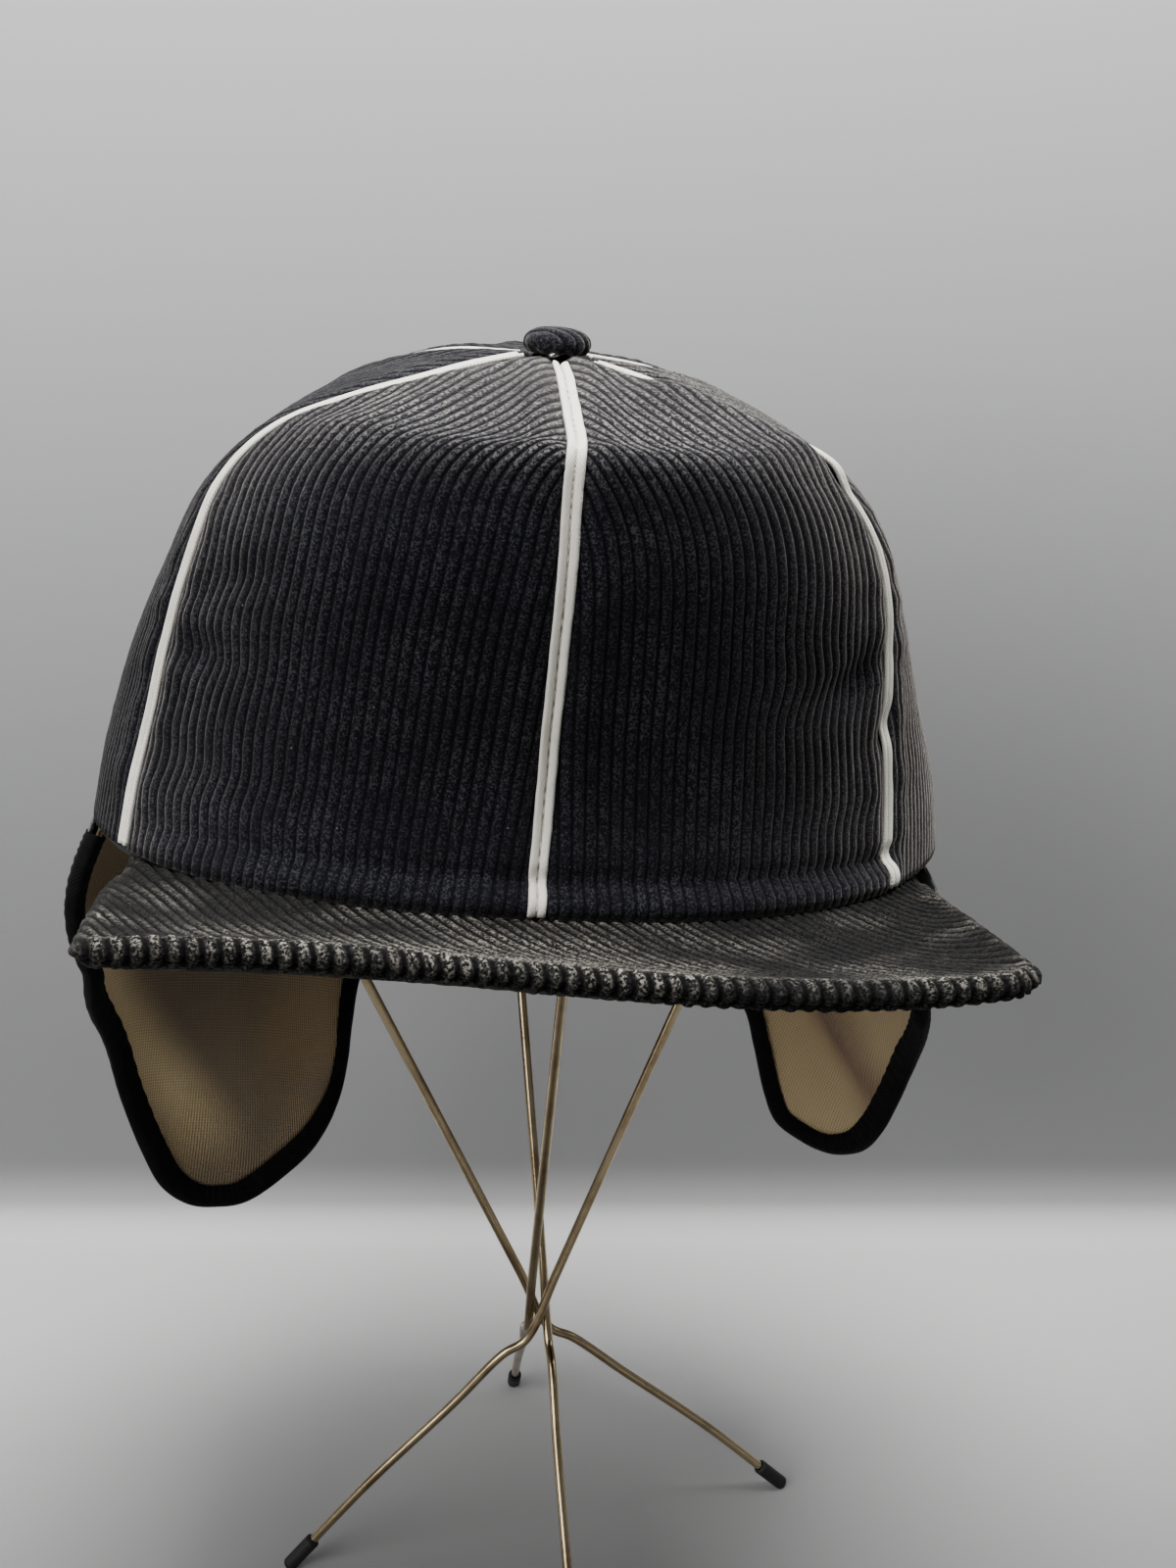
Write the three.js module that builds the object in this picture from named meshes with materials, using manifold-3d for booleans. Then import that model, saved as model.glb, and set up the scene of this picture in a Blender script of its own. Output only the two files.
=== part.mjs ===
// Corduroy earflap cap on a crossed-wire hat stand.
// Millimetres, +Z up. The cap's front faces -Y, the stand's feet are on Z = 0.
import * as THREE from 'three';
import Module from 'manifold-3d';
import { mergeVertices } from 'three/addons/utils/BufferGeometryUtils.js';

const degrees = Math.PI / 180;

// Driving sizes of the stand
const stand = {
  waistHeight: 73.5,
  armTilt: 23.3 * degrees,
  armTop: 56,
  bendDrop: 7.8,
  bendRadius: 4.9,
  turn: 3 * degrees,
  wireRadius: 1.2,
  strandOffset: 2.3,
  topHeight: 317,
  topStep: 3.2,
};

// Where each foot stands: how far out along its wire, and how far beside it
const feet = {
  right: { reach: 73.3, swing: 10 },
  back: { reach: 71.7, swing: -1.7 },
  left: { reach: 70, swing: 0 },
  front: { reach: 70, swing: 0 },
};
const tip = { radius: 1.9, bore: 1.5, length: 10.5, plug: 3.5, floor: -0.09, axisHeight: -0.17 };

// Each leg above its foot, as shares of its reach and of waistHeight
const legRows = [
  { out: 0.66, height: 0.345 },
  { out: 0.33, height: 0.65 },
];

// The bend under the crossing, in bendRadius out and bendDrop below the waist
const bendRows = [
  { out: 2, below: 1.5 },
  { out: 0.7, below: 1 },
];

// Points along each straight arm, from the crossing to the foot of the dome
const armShares = [0.08, 0.3, 0.55, 0.8, 0.95];

// The dome of each wire above the straight arms, as shares of armTop and of the height left
const domeRows = [
  { reach: 1.045, climb: 0.14 },
  { reach: 1.06, climb: 0.34 },
  { reach: 1.03, climb: 0.56 },
  { reach: 0.9, climb: 0.78 },
  { reach: 0.6, climb: 0.95 },
];

// Where the cap sits: middle of its rim, how far its front is raised and its right side lowered
const seat = { x: -4.5, y: 13, z: 207, frontUp: 2.6 * degrees, rightDown: 4.6 * degrees };

// The crown as rings from the rim up. Each ring is centred at y = centre and x = shift,
// and leans so that its back rises by tan(slope) for each unit of y.
const crownRings = [
  { height: 0, halfWidth: 102, halfDepth: 82, centre: 0.5, shift: 1, slope: 0 },
  { height: 19, halfWidth: 99.5, halfDepth: 81.5, centre: 2.5, shift: 1.5, slope: -2 },
  { height: 40, halfWidth: 94, halfDepth: 81.5, centre: -0.5, shift: 1.5, slope: -4.5 },
  { height: 61, halfWidth: 86, halfDepth: 80.5, centre: -7, shift: 1.5, slope: -6.5 },
  { height: 79, halfWidth: 77.5, halfDepth: 76, centre: -13, shift: 1, slope: -5.5 },
  { height: 93, halfWidth: 65, halfDepth: 68.5, centre: -20, shift: 1, slope: -2 },
  { height: 103, halfWidth: 49.5, halfDepth: 56, centre: -26.5, shift: 1, slope: 4.5 },
  { height: 110, halfWidth: 28, halfDepth: 34, centre: -31, shift: 0.5, slope: 7 },
  { height: 113.5, halfWidth: 5, halfDepth: 5, centre: -34.5, shift: 0, slope: 4 },
];
const squareness = 2.15;
const seamAngles = [-1, 60.5, 120, 180, 240, 298.5];
// How far the two side seams stray from those angles, in even steps from the rim to the top
const seamDrift = {
  1: [-8, -8, -3.5, -4, -2, 0],
  5: [-0.5, 0, -3, -6, -5, 0],
};
const gap = 0.3;
const crownWall = 2;
const tape = { width: 4.3, thickness: 1, above: 0.45, start: 0.012, end: 0.975 };
const button = { radius: 6.9, height: 4.4, dome: 3, foot: 0.94, clear: 0.9 };
// The button's rounded top: how far out, as a share of its radius, and how far down, as a share of its dome
const buttonRows = [
  { out: 1, down: 1 },
  { out: 0.9, down: 0.45 },
  { out: 0.58, down: 0.1 },
  { out: 0, down: 0 },
];

// The peak: a covered board that leaves the rim between two angles and widens to rounded corners.
// from and to are the shares of each half that its corner takes.
const peak = {
  leftEnd: 61.4,
  rightEnd: 68,
  length: 66.3,
  halfWidth: 83.4,
  frontShift: -2.1,
  flare: 2.5,
  corner: { radius: 7.9, from: 0.42, to: 0.58 },
  thickness: 4.5,
  clear: 1.1,
  rise: 0.196,
  sideRise: 2.6,
  endRise: 5.5,
  twist: 0.064,
};

// The lower edge of the folded-down ear band, from each end of the peak to the middle of the back.
// angle is measured round the rim from the front, drop is how far the edge hangs below the rim.
const leftEdge = [
  { angle: 77.6, drop: 2 },
  { angle: 77.2, drop: 9 },
  { angle: 77.4, drop: 20 },
  { angle: 79, drop: 32 },
  { angle: 84, drop: 48 },
  { angle: 92.4, drop: 65 },
  { angle: 96.4, drop: 82.4 },
  { angle: 100.2, drop: 99.7 },
  { angle: 103, drop: 110.6 },
  { angle: 107.1, drop: 117.6 },
  { angle: 111.7, drop: 120.1 },
  { angle: 117.3, drop: 119.8 },
  { angle: 126.2, drop: 113.5 },
  { angle: 135.2, drop: 106.4 },
  { angle: 143.8, drop: 97 },
  { angle: 148.6, drop: 87 },
  { angle: 151.4, drop: 76.5 },
  { angle: 154.3, drop: 66.5 },
  { angle: 159, drop: 57 },
  { angle: 168, drop: 48 },
];
const rightEdge = [
  { angle: 75.6, drop: 3 },
  { angle: 75, drop: 15 },
  { angle: 75.2, drop: 29 },
  { angle: 77.3, drop: 42 },
  { angle: 82, drop: 51 },
  { angle: 87.8, drop: 62 },
  { angle: 93.3, drop: 76.8 },
  { angle: 97.7, drop: 89.2 },
  { angle: 101.6, drop: 97.5 },
  { angle: 106, drop: 102 },
  { angle: 109.5, drop: 103.3 },
  { angle: 113.6, drop: 102.6 },
  { angle: 119.1, drop: 99 },
  { angle: 122.3, drop: 91 },
  { angle: 125.8, drop: 77.6 },
  { angle: 129.5, drop: 66.5 },
  { angle: 139, drop: 55 },
  { angle: 155, drop: 48 },
];
const backDrop = 46;
const bandStart = 1.2;
// How far each flap swings in below its fold, as a share of the rim's radius at fullDrop,
// and how far it bulges out above bulgeDrop. The other values are angles round the rim.
const lean = {
  left: { front: -0.06, back: 0.35, bulge: { out: 5, opens: 50, full: 66, fades: 80, gone: 125 } },
  right: { front: -0.2, back: 0.1, bulge: { out: 10, opens: 66, full: 92, fades: 100, gone: 130 } },
  swing: { from: 75, to: 140 },
  rear: { share: 0.08, from: 150, to: 178 },
  fullDrop: 100,
  curl: 1.2,
  bulgeDrop: 40,
};
const band = { wall: 1.4, lining: 1, apart: 0.9, binding: 6.5, bindingSkin: 0.6, endCut: 0.012, corner: 6 };

// Facets along and across each piece
const facets = {
  panel: [10, 14],
  tape: [2, 16],
  peak: [50, 5],
  band: [60, 10],
  binding: [72, 1],
  wire: { along: 110, round: 8 },
  tip: 16,
  button: 24,
};

const corduroy = { color: 0x17181c, roughness: 0.95 };
const peakCord = { color: 0x2b2a29, roughness: 0.95 };
const cottonTape = { color: 0xe6e1d6, roughness: 0.8 };
const satin = { color: 0xa8906c, roughness: 0.45 };
const bindingTape = { color: 0x0c0c0e, roughness: 0.8 };
const brass = { color: 0x8d7346, roughness: 0.35, metalness: 1 };
const rubber = { color: 0x0d0d0e, roughness: 0.8 };

const wasm = await Module();
wasm.setup();

function named(name, geometry, finish) {
  const mesh = new THREE.Mesh(geometry, new THREE.MeshStandardMaterial(finish));
  mesh.name = name;
  return mesh;
}

function plain(geometry) {
  geometry.deleteAttribute('normal');
  geometry.deleteAttribute('uv');
  return mergeVertices(geometry, 1e-4);
}

// A smooth line through the rows of a table, one value for each column
function tableCurve(rows, columns) {
  const last = rows.length - 1;
  return (t) => {
    const x = THREE.MathUtils.clamp(t, 0, 1) * last;
    const i = Math.min(Math.floor(x), last - 1);
    const k = x - i;
    const before = rows[Math.max(i - 1, 0)];
    const from = rows[i];
    const to = rows[i + 1];
    const after = rows[Math.min(i + 2, last)];
    const value = {};
    for (const name of columns) {
      const a = (to[name] - before[name]) / (i > 0 ? 2 : 1);
      const b = (after[name] - from[name]) / (i + 2 <= last ? 2 : 1);
      const rise = to[name] - from[name];
      value[name] = from[name] + a * k + (3 * rise - 2 * a - b) * k * k + (a + b - 2 * rise) * k ** 3;
    }
    return value;
  };
}

const ringAt = tableCurve(crownRings, ['height', 'halfWidth', 'halfDepth', 'centre', 'shift', 'slope']);

function power(value, exponent) {
  return Math.sign(value) * Math.abs(value) ** exponent;
}

// A point of the crown's outside: angle round from the front, rise 0 at the rim to 1 at the top
function crownPoint(angle, rise) {
  const ring = ringAt(rise);
  const a = angle * degrees;
  const x = ring.halfWidth * power(Math.sin(a), 2 / squareness);
  const y = -ring.halfDepth * power(Math.cos(a), 2 / squareness);
  return new THREE.Vector3(
    ring.shift + x,
    ring.centre + y,
    ring.height + Math.tan(ring.slope * degrees) * y,
  );
}

// Normal of a surface, on the side that the turn from u to v gives: out of the crown,
// under the peak and in from the ear band
function normalAt(surface, u, v) {
  const step = 1e-3;
  const alongU = surface(u + step, v).sub(surface(u - step, v));
  const alongV = surface(u, v + step).sub(surface(u, v - step));
  return alongU.cross(alongV).normalize();
}

// A wall over a surface of u and v in 0..1, from one height above the surface to another
function wall(surface, [uSteps, vSteps], low, high) {
  const geometry = new THREE.BoxGeometry(1, 1, 1, uSteps, vSteps, 1);
  const position = geometry.attributes.position;
  for (let i = 0; i < position.count; i += 1) {
    const u = position.getX(i) + 0.5;
    const v = position.getY(i) + 0.5;
    const height = position.getZ(i) > 0 ? high : low;
    const point = surface(u, v).addScaledVector(normalAt(surface, u, v), height);
    position.setXYZ(i, point.x, point.y, point.z);
  }
  return plain(geometry);
}

// How far each straying seam is turned, as curves up the crown
const driftCurves = Object.entries(seamDrift).map(([seam, rows]) => [
  Number(seam),
  tableCurve(rows.map((drift) => ({ drift })), ['drift']),
]);
// The angle of a seam; seam 6 is the front one again after a full turn
function seamAngle(seam, rise) {
  const angle = seam < seamAngles.length ? seamAngles[seam] : seamAngles[0] + 360;
  const found = driftCurves.find(([index]) => index === seam);
  return found ? angle + found[1](rise).drift : angle;
}

// Degrees of angle that cover one millimetre of the crown at this angle and rise
function degreesPerMm(angle, rise) {
  const step = 0.5;
  return (2 * step) / crownPoint(angle + step, rise).distanceTo(crownPoint(angle - step, rise));
}

function crownPanel(seam) {
  return wall((u, v) => {
    const from = seamAngle(seam, v);
    const to = seamAngle(seam + 1, v);
    const start = from + (gap / 2) * degreesPerMm(from, v);
    const stop = to - (gap / 2) * degreesPerMm(to, v);
    return crownPoint(start + (stop - start) * u, v);
  }, facets.panel, -crownWall, 0);
}

function seamTape(seam) {
  return wall((u, v) => {
    const rise = tape.start + v * (tape.end - tape.start);
    const angle = seamAngle(seam, rise);
    const offset = (u - 0.5) * tape.width * degreesPerMm(angle, rise);
    return crownPoint(angle + offset, rise);
  }, facets.tape, tape.above, tape.above + tape.thickness);
}

// The button stands on the tapes where the seams meet
function coveredButton() {
  const profile = [new THREE.Vector2(0, 0), new THREE.Vector2(button.radius * button.foot, 0)];
  for (const row of buttonRows) {
    profile.push(new THREE.Vector2(button.radius * row.out, button.height - button.dome * row.down));
  }
  const geometry = new THREE.LatheGeometry(profile, facets.button);
  geometry.rotateX(Math.PI / 2);
  const mesh = named('top_button', plain(geometry), corduroy);
  const top = crownRings[crownRings.length - 1];
  const height = top.height + gap + tape.above + tape.thickness + button.clear;
  mesh.position.set(top.shift, top.centre, height);
  mesh.rotation.set(top.slope * degrees, 0, 0);
  return mesh;
}

// The peak's outline: a straight front, rounded corners and straight ends. side runs from -1 to 1,
// out is a share of the half width and ahead a share of the reach.
function peakOutline(side, reach) {
  const { radius, from, to } = peak.corner;
  const part = Math.abs(side);
  const across = radius / peak.halfWidth;
  const along = radius / reach;
  if (part < from) return { out: (side / from) * (1 - across), ahead: 1 };
  if (part > to) return { out: Math.sign(side), ahead: ((1 - along) * (1 - part)) / (1 - to) };
  const turn = ((part - from) / (to - from)) * 90 * degrees;
  return {
    out: Math.sign(side) * (1 - across * (1 - Math.sin(turn))),
    ahead: 1 - along * (1 - Math.cos(turn)),
  };
}

// The peak's upper face, with its board below it.
// u runs round from the left end to the right, v from the rim to the edge.
function peakPoint(u, v) {
  const { lerp } = THREE.MathUtils;
  const middle = crownRings[0].shift;
  const left = crownPoint(-peak.leftEnd, 0);
  const right = crownPoint(peak.rightEnd, 0);
  const angle = lerp(-peak.leftEnd, peak.rightEnd, u);
  const outward = new THREE.Vector3(Math.sin(angle * degrees), -Math.cos(angle * degrees), 0);
  const root = crownPoint(angle, 0).addScaledVector(outward, peak.clear);
  const rootLine = lerp(left.y, right.y, u) - peak.clear;
  const rootHalf = lerp(middle - left.x, right.x - middle, u) + peak.flare;
  const reach = peak.length + rootLine - crownPoint(0, 0).y;
  const { out, ahead } = peakOutline(2 * u - 1, reach);
  const edge = new THREE.Vector3(
    middle + peak.frontShift * ahead + out * lerp(rootHalf, peak.halfWidth, ahead),
    rootLine - reach * ahead,
    0,
  );
  const point = root.lerp(edge, v);
  const forward = crownPoint(0, 0).y - point.y;
  const across = (point.x - middle) / peak.halfWidth;
  const ends = peak.sideRise * across ** 2 + peak.endRise * across ** 3;
  point.z = -gap + v * (peak.rise * forward + ends - peak.twist * point.x);
  return point;
}

// The ear band's edge as one line from the left end of the peak round the back to the right
const edgeRows = [
  ...leftEdge,
  { angle: 180, drop: backDrop },
  ...rightEdge.map((row) => ({ angle: 360 - row.angle, drop: row.drop })).reverse(),
];
const edgeAt = tableCurve(edgeRows, ['angle', 'drop']);
const mmPerDegree = 1.6;

function edgePoint(t) {
  const row = edgeAt(t);
  return new THREE.Vector2(row.angle * mmPerDegree, row.drop);
}

// The same line moved in across the band by a distance, on the band laid flat
function insetEdge(t, distance) {
  const step = 0.004;
  const from = edgePoint(Math.max(t - step, 0));
  const to = edgePoint(Math.min(t + step, 1));
  const along = to.sub(from).normalize();
  return edgePoint(t).add(new THREE.Vector2(along.y, -along.x).multiplyScalar(distance));
}

// Which flap an angle belongs to, and how far round from the front it is on that side
function flapSide(angle) {
  return angle > 180 ? { side: lean.right, turned: 360 - angle } : { side: lean.left, turned: angle };
}

function leanAt(angle) {
  const { side, turned } = flapSide(angle);
  const back = THREE.MathUtils.smoothstep(turned, lean.swing.from, lean.swing.to);
  const swing = side.front + (side.back - side.front) * back;
  const rear = THREE.MathUtils.smoothstep(turned, lean.rear.from, lean.rear.to);
  return swing + (lean.rear.share - swing) * rear;
}

// A point of the ear band's outside, given on the band laid flat
function bandPoint(flat) {
  const angle = flat.x / mmPerDegree;
  const drop = flat.y;
  const { side, turned } = flapSide(angle);
  const { out, opens, full, fades, gone } = side.bulge;
  const rim = crownPoint(-angle, 0);
  const middle = new THREE.Vector3(crownRings[0].shift, crownRings[0].centre, 0);
  const share = 1 - leanAt(angle) * (Math.max(drop, 0) / lean.fullDrop) ** lean.curl;
  const { smoothstep } = THREE.MathUtils;
  const part = smoothstep(turned, opens, full) * (1 - smoothstep(turned, fades, gone));
  const swell = Math.sin(Math.PI * THREE.MathUtils.clamp(drop / lean.bulgeDrop, 0, 1));
  const arm = rim.clone().sub(middle);
  const point = middle.clone().addScaledVector(arm, share);
  point.addScaledVector(arm.normalize(), out * part * swell);
  point.z = -bandStart - drop;
  return point;
}

function bandSurface(u, v) {
  const inset = band.binding + band.apart;
  const t = band.endCut + (1 - 2 * band.endCut) * u;
  const low = insetEdge(t, inset);
  const first = insetEdge(band.endCut, inset).x;
  const last = insetEdge(1 - band.endCut, inset).x;
  const spread = first + band.corner + (last - first - 2 * band.corner) * u;
  const high = new THREE.Vector2((low.x + spread) / 2, 0);
  return bandPoint(low.lerp(high, v));
}

function bindingSurface(u, v) {
  return bandPoint(insetEdge(u, v * band.binding));
}

// One side of a wire: foot, leg, crossing, arm and dome, short of its crest
function halfWire(foot, topHeight) {
  const armEnd = stand.waistHeight + stand.armTop / Math.tan(stand.armTilt);
  const out = foot.reach - tip.plug;
  const points = [new THREE.Vector3(out, (foot.swing * out) / foot.reach, tip.axisHeight + tip.plug)];
  for (const row of legRows) {
    points.push(new THREE.Vector3(
      foot.reach * row.out,
      foot.swing * row.out + stand.strandOffset * (1 - row.out),
      stand.waistHeight * row.height,
    ));
  }
  for (const row of bendRows) {
    points.push(new THREE.Vector3(
      stand.bendRadius * row.out,
      stand.strandOffset,
      stand.waistHeight - stand.bendDrop * row.below,
    ));
  }
  for (const share of armShares) {
    points.push(new THREE.Vector3(
      -stand.armTop * share,
      stand.strandOffset * (1 - share),
      stand.waistHeight + (armEnd - stand.waistHeight) * share,
    ));
  }
  for (const row of domeRows) {
    points.push(new THREE.Vector3(-stand.armTop * row.reach, 0, armEnd + (topHeight - armEnd) * row.climb));
  }
  return points;
}

// A whole wire from one foot over the top to the other
function wireCurve([near, far], topHeight) {
  const crest = new THREE.Vector3(0, 0, topHeight);
  const other = halfWire(far, topHeight).map((p) => new THREE.Vector3(-p.x, -p.y, p.z)).reverse();
  return new THREE.CatmullRomCurve3([...halfWire(near, topHeight), crest, ...other], false, 'centripetal');
}

function ringShape(radius, sides) {
  const shape = new THREE.Shape();
  for (let i = 0; i < sides; i += 1) {
    const a = ((i + 0.5) / sides) * 2 * Math.PI;
    if (i === 0) shape.moveTo(radius * Math.cos(a), radius * Math.sin(a));
    else shape.lineTo(radius * Math.cos(a), radius * Math.sin(a));
  }
  shape.closePath();
  return shape;
}

function wire(curve) {
  const section = ringShape(stand.wireRadius, facets.wire.round);
  const path = { steps: facets.wire.along, bevelEnabled: false, extrudePath: curve };
  return plain(new THREE.ExtrudeGeometry(section, path));
}

function toManifold(geometry) {
  return new wasm.Manifold(new wasm.Mesh({
    numProp: 3,
    vertProperties: new Float32Array(geometry.attributes.position.array),
    triVerts: new Uint32Array(geometry.index.array),
  }));
}

function fromManifold(solid) {
  const mesh = solid.getMesh();
  const geometry = new THREE.BufferGeometry();
  geometry.setAttribute('position', new THREE.BufferAttribute(mesh.vertProperties, 3));
  geometry.setIndex(new THREE.BufferAttribute(mesh.triVerts, 1));
  return geometry;
}

// A rubber tip on the start (0) or the end (1) of a wire, worn flat where it meets the floor
function rubberTip(curve, side, turn) {
  const profile = [
    new THREE.Vector2(0, 0),
    new THREE.Vector2(tip.radius * 0.8, 0),
    new THREE.Vector2(tip.radius, tip.radius * 0.3),
    new THREE.Vector2(tip.radius, tip.length),
    new THREE.Vector2(tip.bore, tip.length),
    new THREE.Vector2(tip.bore, tip.plug),
    new THREE.Vector2(0, tip.plug),
  ];
  const geometry = new THREE.LatheGeometry(profile, facets.tip);
  const end = curve.getPointAt(side);
  const along = curve.getTangentAt(side).multiplyScalar(1 - 2 * side);
  const start = end.addScaledVector(along, -tip.plug - gap);
  const place = new THREE.Matrix4().compose(
    start,
    new THREE.Quaternion().setFromUnitVectors(new THREE.Vector3(0, 1, 0), along),
    new THREE.Vector3(1, 1, 1),
  );
  const body = plain(geometry.applyMatrix4(place));
  const cut = toManifold(body).trimByPlane([0, 0, 1], tip.floor);
  return fromManifold(cut).rotateZ(turn);
}

function buildStand() {
  const group = new THREE.Group();
  const wires = [
    { name: 'side', top: stand.topHeight, turn: stand.turn, ends: ['right', 'left'] },
    { name: 'fore', top: stand.topHeight - stand.topStep, turn: stand.turn + Math.PI / 2, ends: ['back', 'front'] },
  ];
  for (const { name, top, turn, ends } of wires) {
    const curve = wireCurve(ends.map((end) => feet[end]), top);
    const bar = named(`stand_wire_${name}`, wire(curve), brass);
    bar.rotation.z = turn;
    group.add(bar);
    ends.forEach((end, side) => group.add(named(`rubber_tip_${end}`, rubberTip(curve, side, turn), rubber)));
  }
  return group;
}

function buildCap() {
  const group = new THREE.Group();
  const panelNames = ['front_right', 'side_right', 'back_right', 'back_left', 'side_left', 'front_left'];
  const tapeNames = ['front', 'right', 'rear_right', 'back', 'rear_left', 'left'];
  seamAngles.forEach((_, i) => {
    group.add(named(`crown_panel_${panelNames[i]}`, crownPanel(i), corduroy));
    group.add(named(`seam_tape_${tapeNames[i]}`, seamTape(i), cottonTape));
  });
  group.add(coveredButton());
  group.add(named('peak', wall(peakPoint, facets.peak, 0, peak.thickness), peakCord));
  group.add(named('ear_band', wall(bandSurface, facets.band, 0, band.wall), corduroy));
  const liningFrom = band.wall + band.apart;
  const liningTo = liningFrom + band.lining;
  const lining = wall(bandSurface, facets.band, liningFrom, liningTo);
  group.add(named('ear_band_lining', lining, satin));
  const binding = wall(bindingSurface, facets.binding, -band.bindingSkin, liningTo + band.bindingSkin);
  group.add(named('ear_band_binding', binding, bindingTape));
  group.position.set(seat.x, seat.y, seat.z);
  group.rotation.set(-seat.frontUp, seat.rightDown, 0, 'YXZ');
  return group;
}

const capOnStand = new THREE.Group();
capOnStand.add(buildStand(), buildCap());
capOnStand.updateMatrixWorld(true);

// The origin is on the floor under the middle of the whole thing
const box = new THREE.Box3().setFromObject(capOnStand, true);
const middle = box.getCenter(new THREE.Vector3());
capOnStand.position.set(-middle.x, -middle.y, -box.min.z);

export default capOnStand;
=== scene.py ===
import bpy
import bmesh
import math
from bisect import bisect_left
from mathutils import Matrix, Vector, noise


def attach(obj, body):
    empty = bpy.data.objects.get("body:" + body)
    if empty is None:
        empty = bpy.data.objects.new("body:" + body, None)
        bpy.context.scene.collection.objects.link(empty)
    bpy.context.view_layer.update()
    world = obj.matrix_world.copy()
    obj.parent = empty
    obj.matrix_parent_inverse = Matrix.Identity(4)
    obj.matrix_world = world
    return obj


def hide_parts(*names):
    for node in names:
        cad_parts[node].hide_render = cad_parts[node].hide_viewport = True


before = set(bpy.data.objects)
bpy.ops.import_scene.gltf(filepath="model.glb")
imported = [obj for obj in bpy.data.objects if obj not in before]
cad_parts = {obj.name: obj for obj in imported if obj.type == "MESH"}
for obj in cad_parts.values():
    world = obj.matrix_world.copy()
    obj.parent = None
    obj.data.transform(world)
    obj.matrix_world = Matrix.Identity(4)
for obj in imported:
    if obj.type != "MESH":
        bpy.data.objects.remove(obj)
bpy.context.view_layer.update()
mm = 0.001
print("frame loaded")

# How far the part was moved to put its origin under its middle, in mm
origin = Vector((1.877, 18.416, 0.09))

# The photograph's camera, in mm and radians
view = {"place": (-34.1, -408.6, 342.9), "down": 0.293, "turn": 0.116, "lens": 40.5, "sensor": 36, "near": 0.01}


def addCamera():
    data = bpy.data.cameras.new("camera")
    data.lens = view["lens"]
    data.sensor_width = view["sensor"]
    data.clip_start = view["near"]
    camera = bpy.data.objects.new("camera", data)
    camera.location = (Vector(view["place"]) + origin) * mm
    camera.rotation_euler = (math.pi / 2 - view["down"], 0, -view["turn"])
    bpy.context.collection.objects.link(camera)
    bpy.context.scene.camera = camera


# Small helpers for numbers
def clamp(x, low=0.0, high=1.0):
    return max(low, min(high, x))


def smooth(x, low, high):
    t = clamp((x - low) / (high - low))
    return t * t * (3 - 2 * t)


def hump(x, middle, width):
    return math.exp(-(((x - middle) / width) ** 2))


def rough(x, y, z, size):
    return noise.noise(Vector((x, y, z)) / size)


# Shader maths: a wrapped socket that takes + - * / and powers
class Signal:
    def __init__(self, finish, socket):
        self.finish = finish
        self.socket = socket

    def __add__(self, other):
        return self.finish.maths("ADD", self, other)

    def __sub__(self, other):
        return self.finish.maths("SUBTRACT", self, other)

    def __rsub__(self, other):
        return self.finish.maths("SUBTRACT", other, self)

    def __mul__(self, other):
        return self.finish.maths("MULTIPLY", self, other)

    def __pow__(self, other):
        return self.finish.maths("POWER", self, other)

    __radd__ = __add__
    __rmul__ = __mul__


class Finish:
    def __init__(self, name, **shader):
        self.material = bpy.data.materials.new(name)
        self.material.use_nodes = True
        self.nodes = self.material.node_tree.nodes
        self.links = self.material.node_tree.links
        self.shader = self.nodes["Principled BSDF"].inputs
        for key, value in shader.items():
            self.set(self.shader[key.replace("_", " ")], value)

    def set(self, socket, value):
        if isinstance(value, Signal):
            self.links.new(value.socket, socket)
        elif isinstance(value, tuple) and len(value) == 3 and socket.type == "RGBA":
            socket.default_value = (*value, 1)
        else:
            socket.default_value = value

    def node(self, kind, settings=None, inputs=None, output=0):
        node = self.nodes.new("ShaderNode" + kind)
        for key, value in (settings or {}).items():
            setattr(node, key, value)
        for key, value in (inputs or {}).items():
            self.set(node.inputs[key], value)
        return Signal(self, node.outputs[output])

    def maths(self, operation, *values):
        return self.node("Math", {"operation": operation}, dict(enumerate(values)))

    # Where on the object, or on the cloth
    def place(self):
        return self.node("TexCoord", output="Object")

    def cloth(self):
        uv = self.node("UVMap", {"uv_map": "cloth"})
        return [self.node("SeparateXYZ", None, {0: uv}, output=i) for i in range(2)]

    def height(self, axis=2):
        return self.node("SeparateXYZ", None, {0: self.place()}, output=axis)

    def attribute(self, name):
        return self.node("Attribute", {"attribute_name": name}, output="Fac")

    def noise(self, scale, detail=2, roughness=0.5):
        inputs = {"Vector": self.place(), "Scale": scale, "Detail": detail, "Roughness": roughness}
        return self.node("TexNoise", None, inputs)

    # Specks of lint: one in a few cells of a Voronoi pattern holds a dot
    def specks(self, scale, size, share):
        inputs = {"Vector": self.place(), "Scale": scale, "Randomness": 1.0}
        cells = self.node("TexVoronoi", None, inputs, output="Distance").socket.node
        chance = self.node("SeparateColor", None, {0: Signal(self, cells.outputs["Color"])})
        dot = 1 - self.step(Signal(self, cells.outputs["Distance"]), size * 0.5, size)
        return dot * self.step(chance, 1 - share, 1)

    def step(self, value, low, high):
        inputs = {"Value": value, "From Min": low, "From Max": high}
        return self.node("MapRange", {"interpolation_type": "SMOOTHSTEP"}, inputs)

    def mix(self, share, one, other):
        return self.node("Mix", {"data_type": "RGBA"}, {0: share, 6: one, 7: other}, output=2)

    def wave(self, value):
        return self.maths("COSINE", value * (2 * math.pi)) * 0.5 + 0.5

    def bump(self, height, distance, strength=1.0):
        inputs = {"Height": height, "Distance": distance, "Strength": strength}
        self.set(self.shader["Normal"], self.node("Bump", None, inputs))

    def colour(self, value):
        self.set(self.shader["Base Color"], value)

    def roughness(self, value):
        self.set(self.shader["Roughness"], value)


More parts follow.
